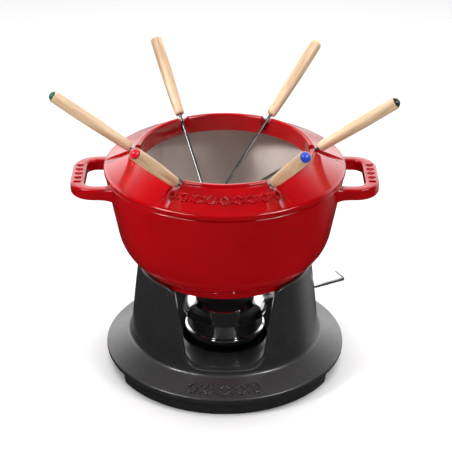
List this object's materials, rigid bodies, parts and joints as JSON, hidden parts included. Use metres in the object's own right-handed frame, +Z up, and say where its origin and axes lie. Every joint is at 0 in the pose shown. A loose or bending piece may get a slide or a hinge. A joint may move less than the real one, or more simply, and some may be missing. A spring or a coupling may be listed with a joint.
{
  "type": "fondue pot set",
  "caption": "Red enamelled pot with two loop handles and a fork guide ring, on a black cast stand over a paste burner with a lever, with wood-handled forks.",
  "frame": {"origin": "on the pot's axis, on the surface that the stand's foot rests on", "axes": "+X through the pot's right handle, +Z up, and the front faces -Y"},
  "size_m": [0.282, 0.2529, 0.2505],
  "materials": {
    "black_cast_iron": "matt black enamel over a fine sand-cast skin",
    "red_enamel": "glossy cherry-red vitreous enamel over cast iron, pale enamel inside the pot",
    "fork_steel": "polished stainless rod",
    "cup_steel": "satin stainless sheet",
    "chrome": "mirror chrome",
    "pale_wood": "turned beech with a thin clear lacquer",
    "wadding": "fibrous absorbent pad",
    "cap_black": "glossy dome",
    "cap_yellow": "glossy dome",
    "cap_white": "glossy dome",
    "cap_green": "glossy dome",
    "cap_red": "glossy dome",
    "cap_blue": "glossy dome"
  },
  "bodies": {
    "stand": {"stand": "black_cast_iron"},
    "pot": {"pot": "red_enamel"},
    "guide_ring": {"fork_guide_ring": "red_enamel"},
    "fork_1": {"fork_1_shaft": "fork_steel", "fork_1_handle": "pale_wood", "fork_1_cap": "cap_black"},
    "fork_2": {"fork_2_shaft": "fork_steel", "fork_2_handle": "pale_wood", "fork_2_cap": "cap_yellow"},
    "fork_3": {"fork_3_shaft": "fork_steel", "fork_3_handle": "pale_wood", "fork_3_cap": "cap_white"},
    "fork_4": {"fork_4_shaft": "fork_steel", "fork_4_handle": "pale_wood", "fork_4_cap": "cap_green"},
    "fork_5": {"fork_5_shaft": "fork_steel", "fork_5_handle": "pale_wood", "fork_5_cap": "cap_red"},
    "fork_6": {"fork_6_shaft": "fork_steel", "fork_6_handle": "pale_wood", "fork_6_cap": "cap_blue"},
    "burner_base": {"burner_bowl": "chrome", "fuel_cup": "cup_steel", "fuel_wadding": "wadding", "fuel_gauze": "cup_steel"},
    "burner_top": {"burner_cover": "chrome"},
    "regulator": {"regulator_ring": "chrome", "regulator_lever": "chrome", "lever_rivet_1": "cup_steel", "lever_rivet_2": "cup_steel"}
  },
  "joints": [
    {"name": "pot_lift", "type": "slide", "parent": "stand", "child": "pot", "axis": [0, 0, 1], "range_m": [0, 0.15]},
    {"name": "ring_lift", "type": "slide", "parent": "pot", "child": "guide_ring", "axis": [0, 0, 1], "range_m": [0, 0.1]},
    {"name": "fork_1_pull", "type": "slide", "parent": "guide_ring", "child": "fork_1", "axis": [0.7714, -0.2067, 0.6018], "range_m": [0, 0.095]},
    {"name": "fork_2_pull", "type": "slide", "parent": "guide_ring", "child": "fork_2", "axis": [0.529, 0.5383, 0.6561], "range_m": [0, 0.095]},
    {"name": "fork_3_pull", "type": "slide", "parent": "guide_ring", "child": "fork_3", "axis": [-0.287, 0.7103, 0.6428], "range_m": [0, 0.095]},
    {"name": "fork_4_pull", "type": "slide", "parent": "guide_ring", "child": "fork_4", "axis": [-0.7919, -0.0484, 0.6088], "range_m": [0, 0.095]},
    {"name": "fork_5_pull", "type": "slide", "parent": "guide_ring", "child": "fork_5", "axis": [-0.3528, -0.6924, 0.6293], "range_m": [0, 0.095]},
    {"name": "fork_6_pull", "type": "slide", "parent": "guide_ring", "child": "fork_6", "axis": [0.2695, -0.7405, 0.6157], "range_m": [0, 0.095]},
    {"name": "burner_lift", "type": "slide", "parent": "stand", "child": "burner_base", "axis": [0, 0, 1], "range_m": [0, 0.012]},
    {"name": "cover_lift", "type": "slide", "parent": "burner_base", "child": "burner_top", "axis": [0, 0, 1], "range_m": [0, 0.012]},
    {"name": "regulator_turn", "type": "hinge", "parent": "burner_top", "child": "regulator", "pos_m": [0, 0, 0.0462], "axis": [0, 0, 1], "range_deg": [-16, 15]}
  ]
}
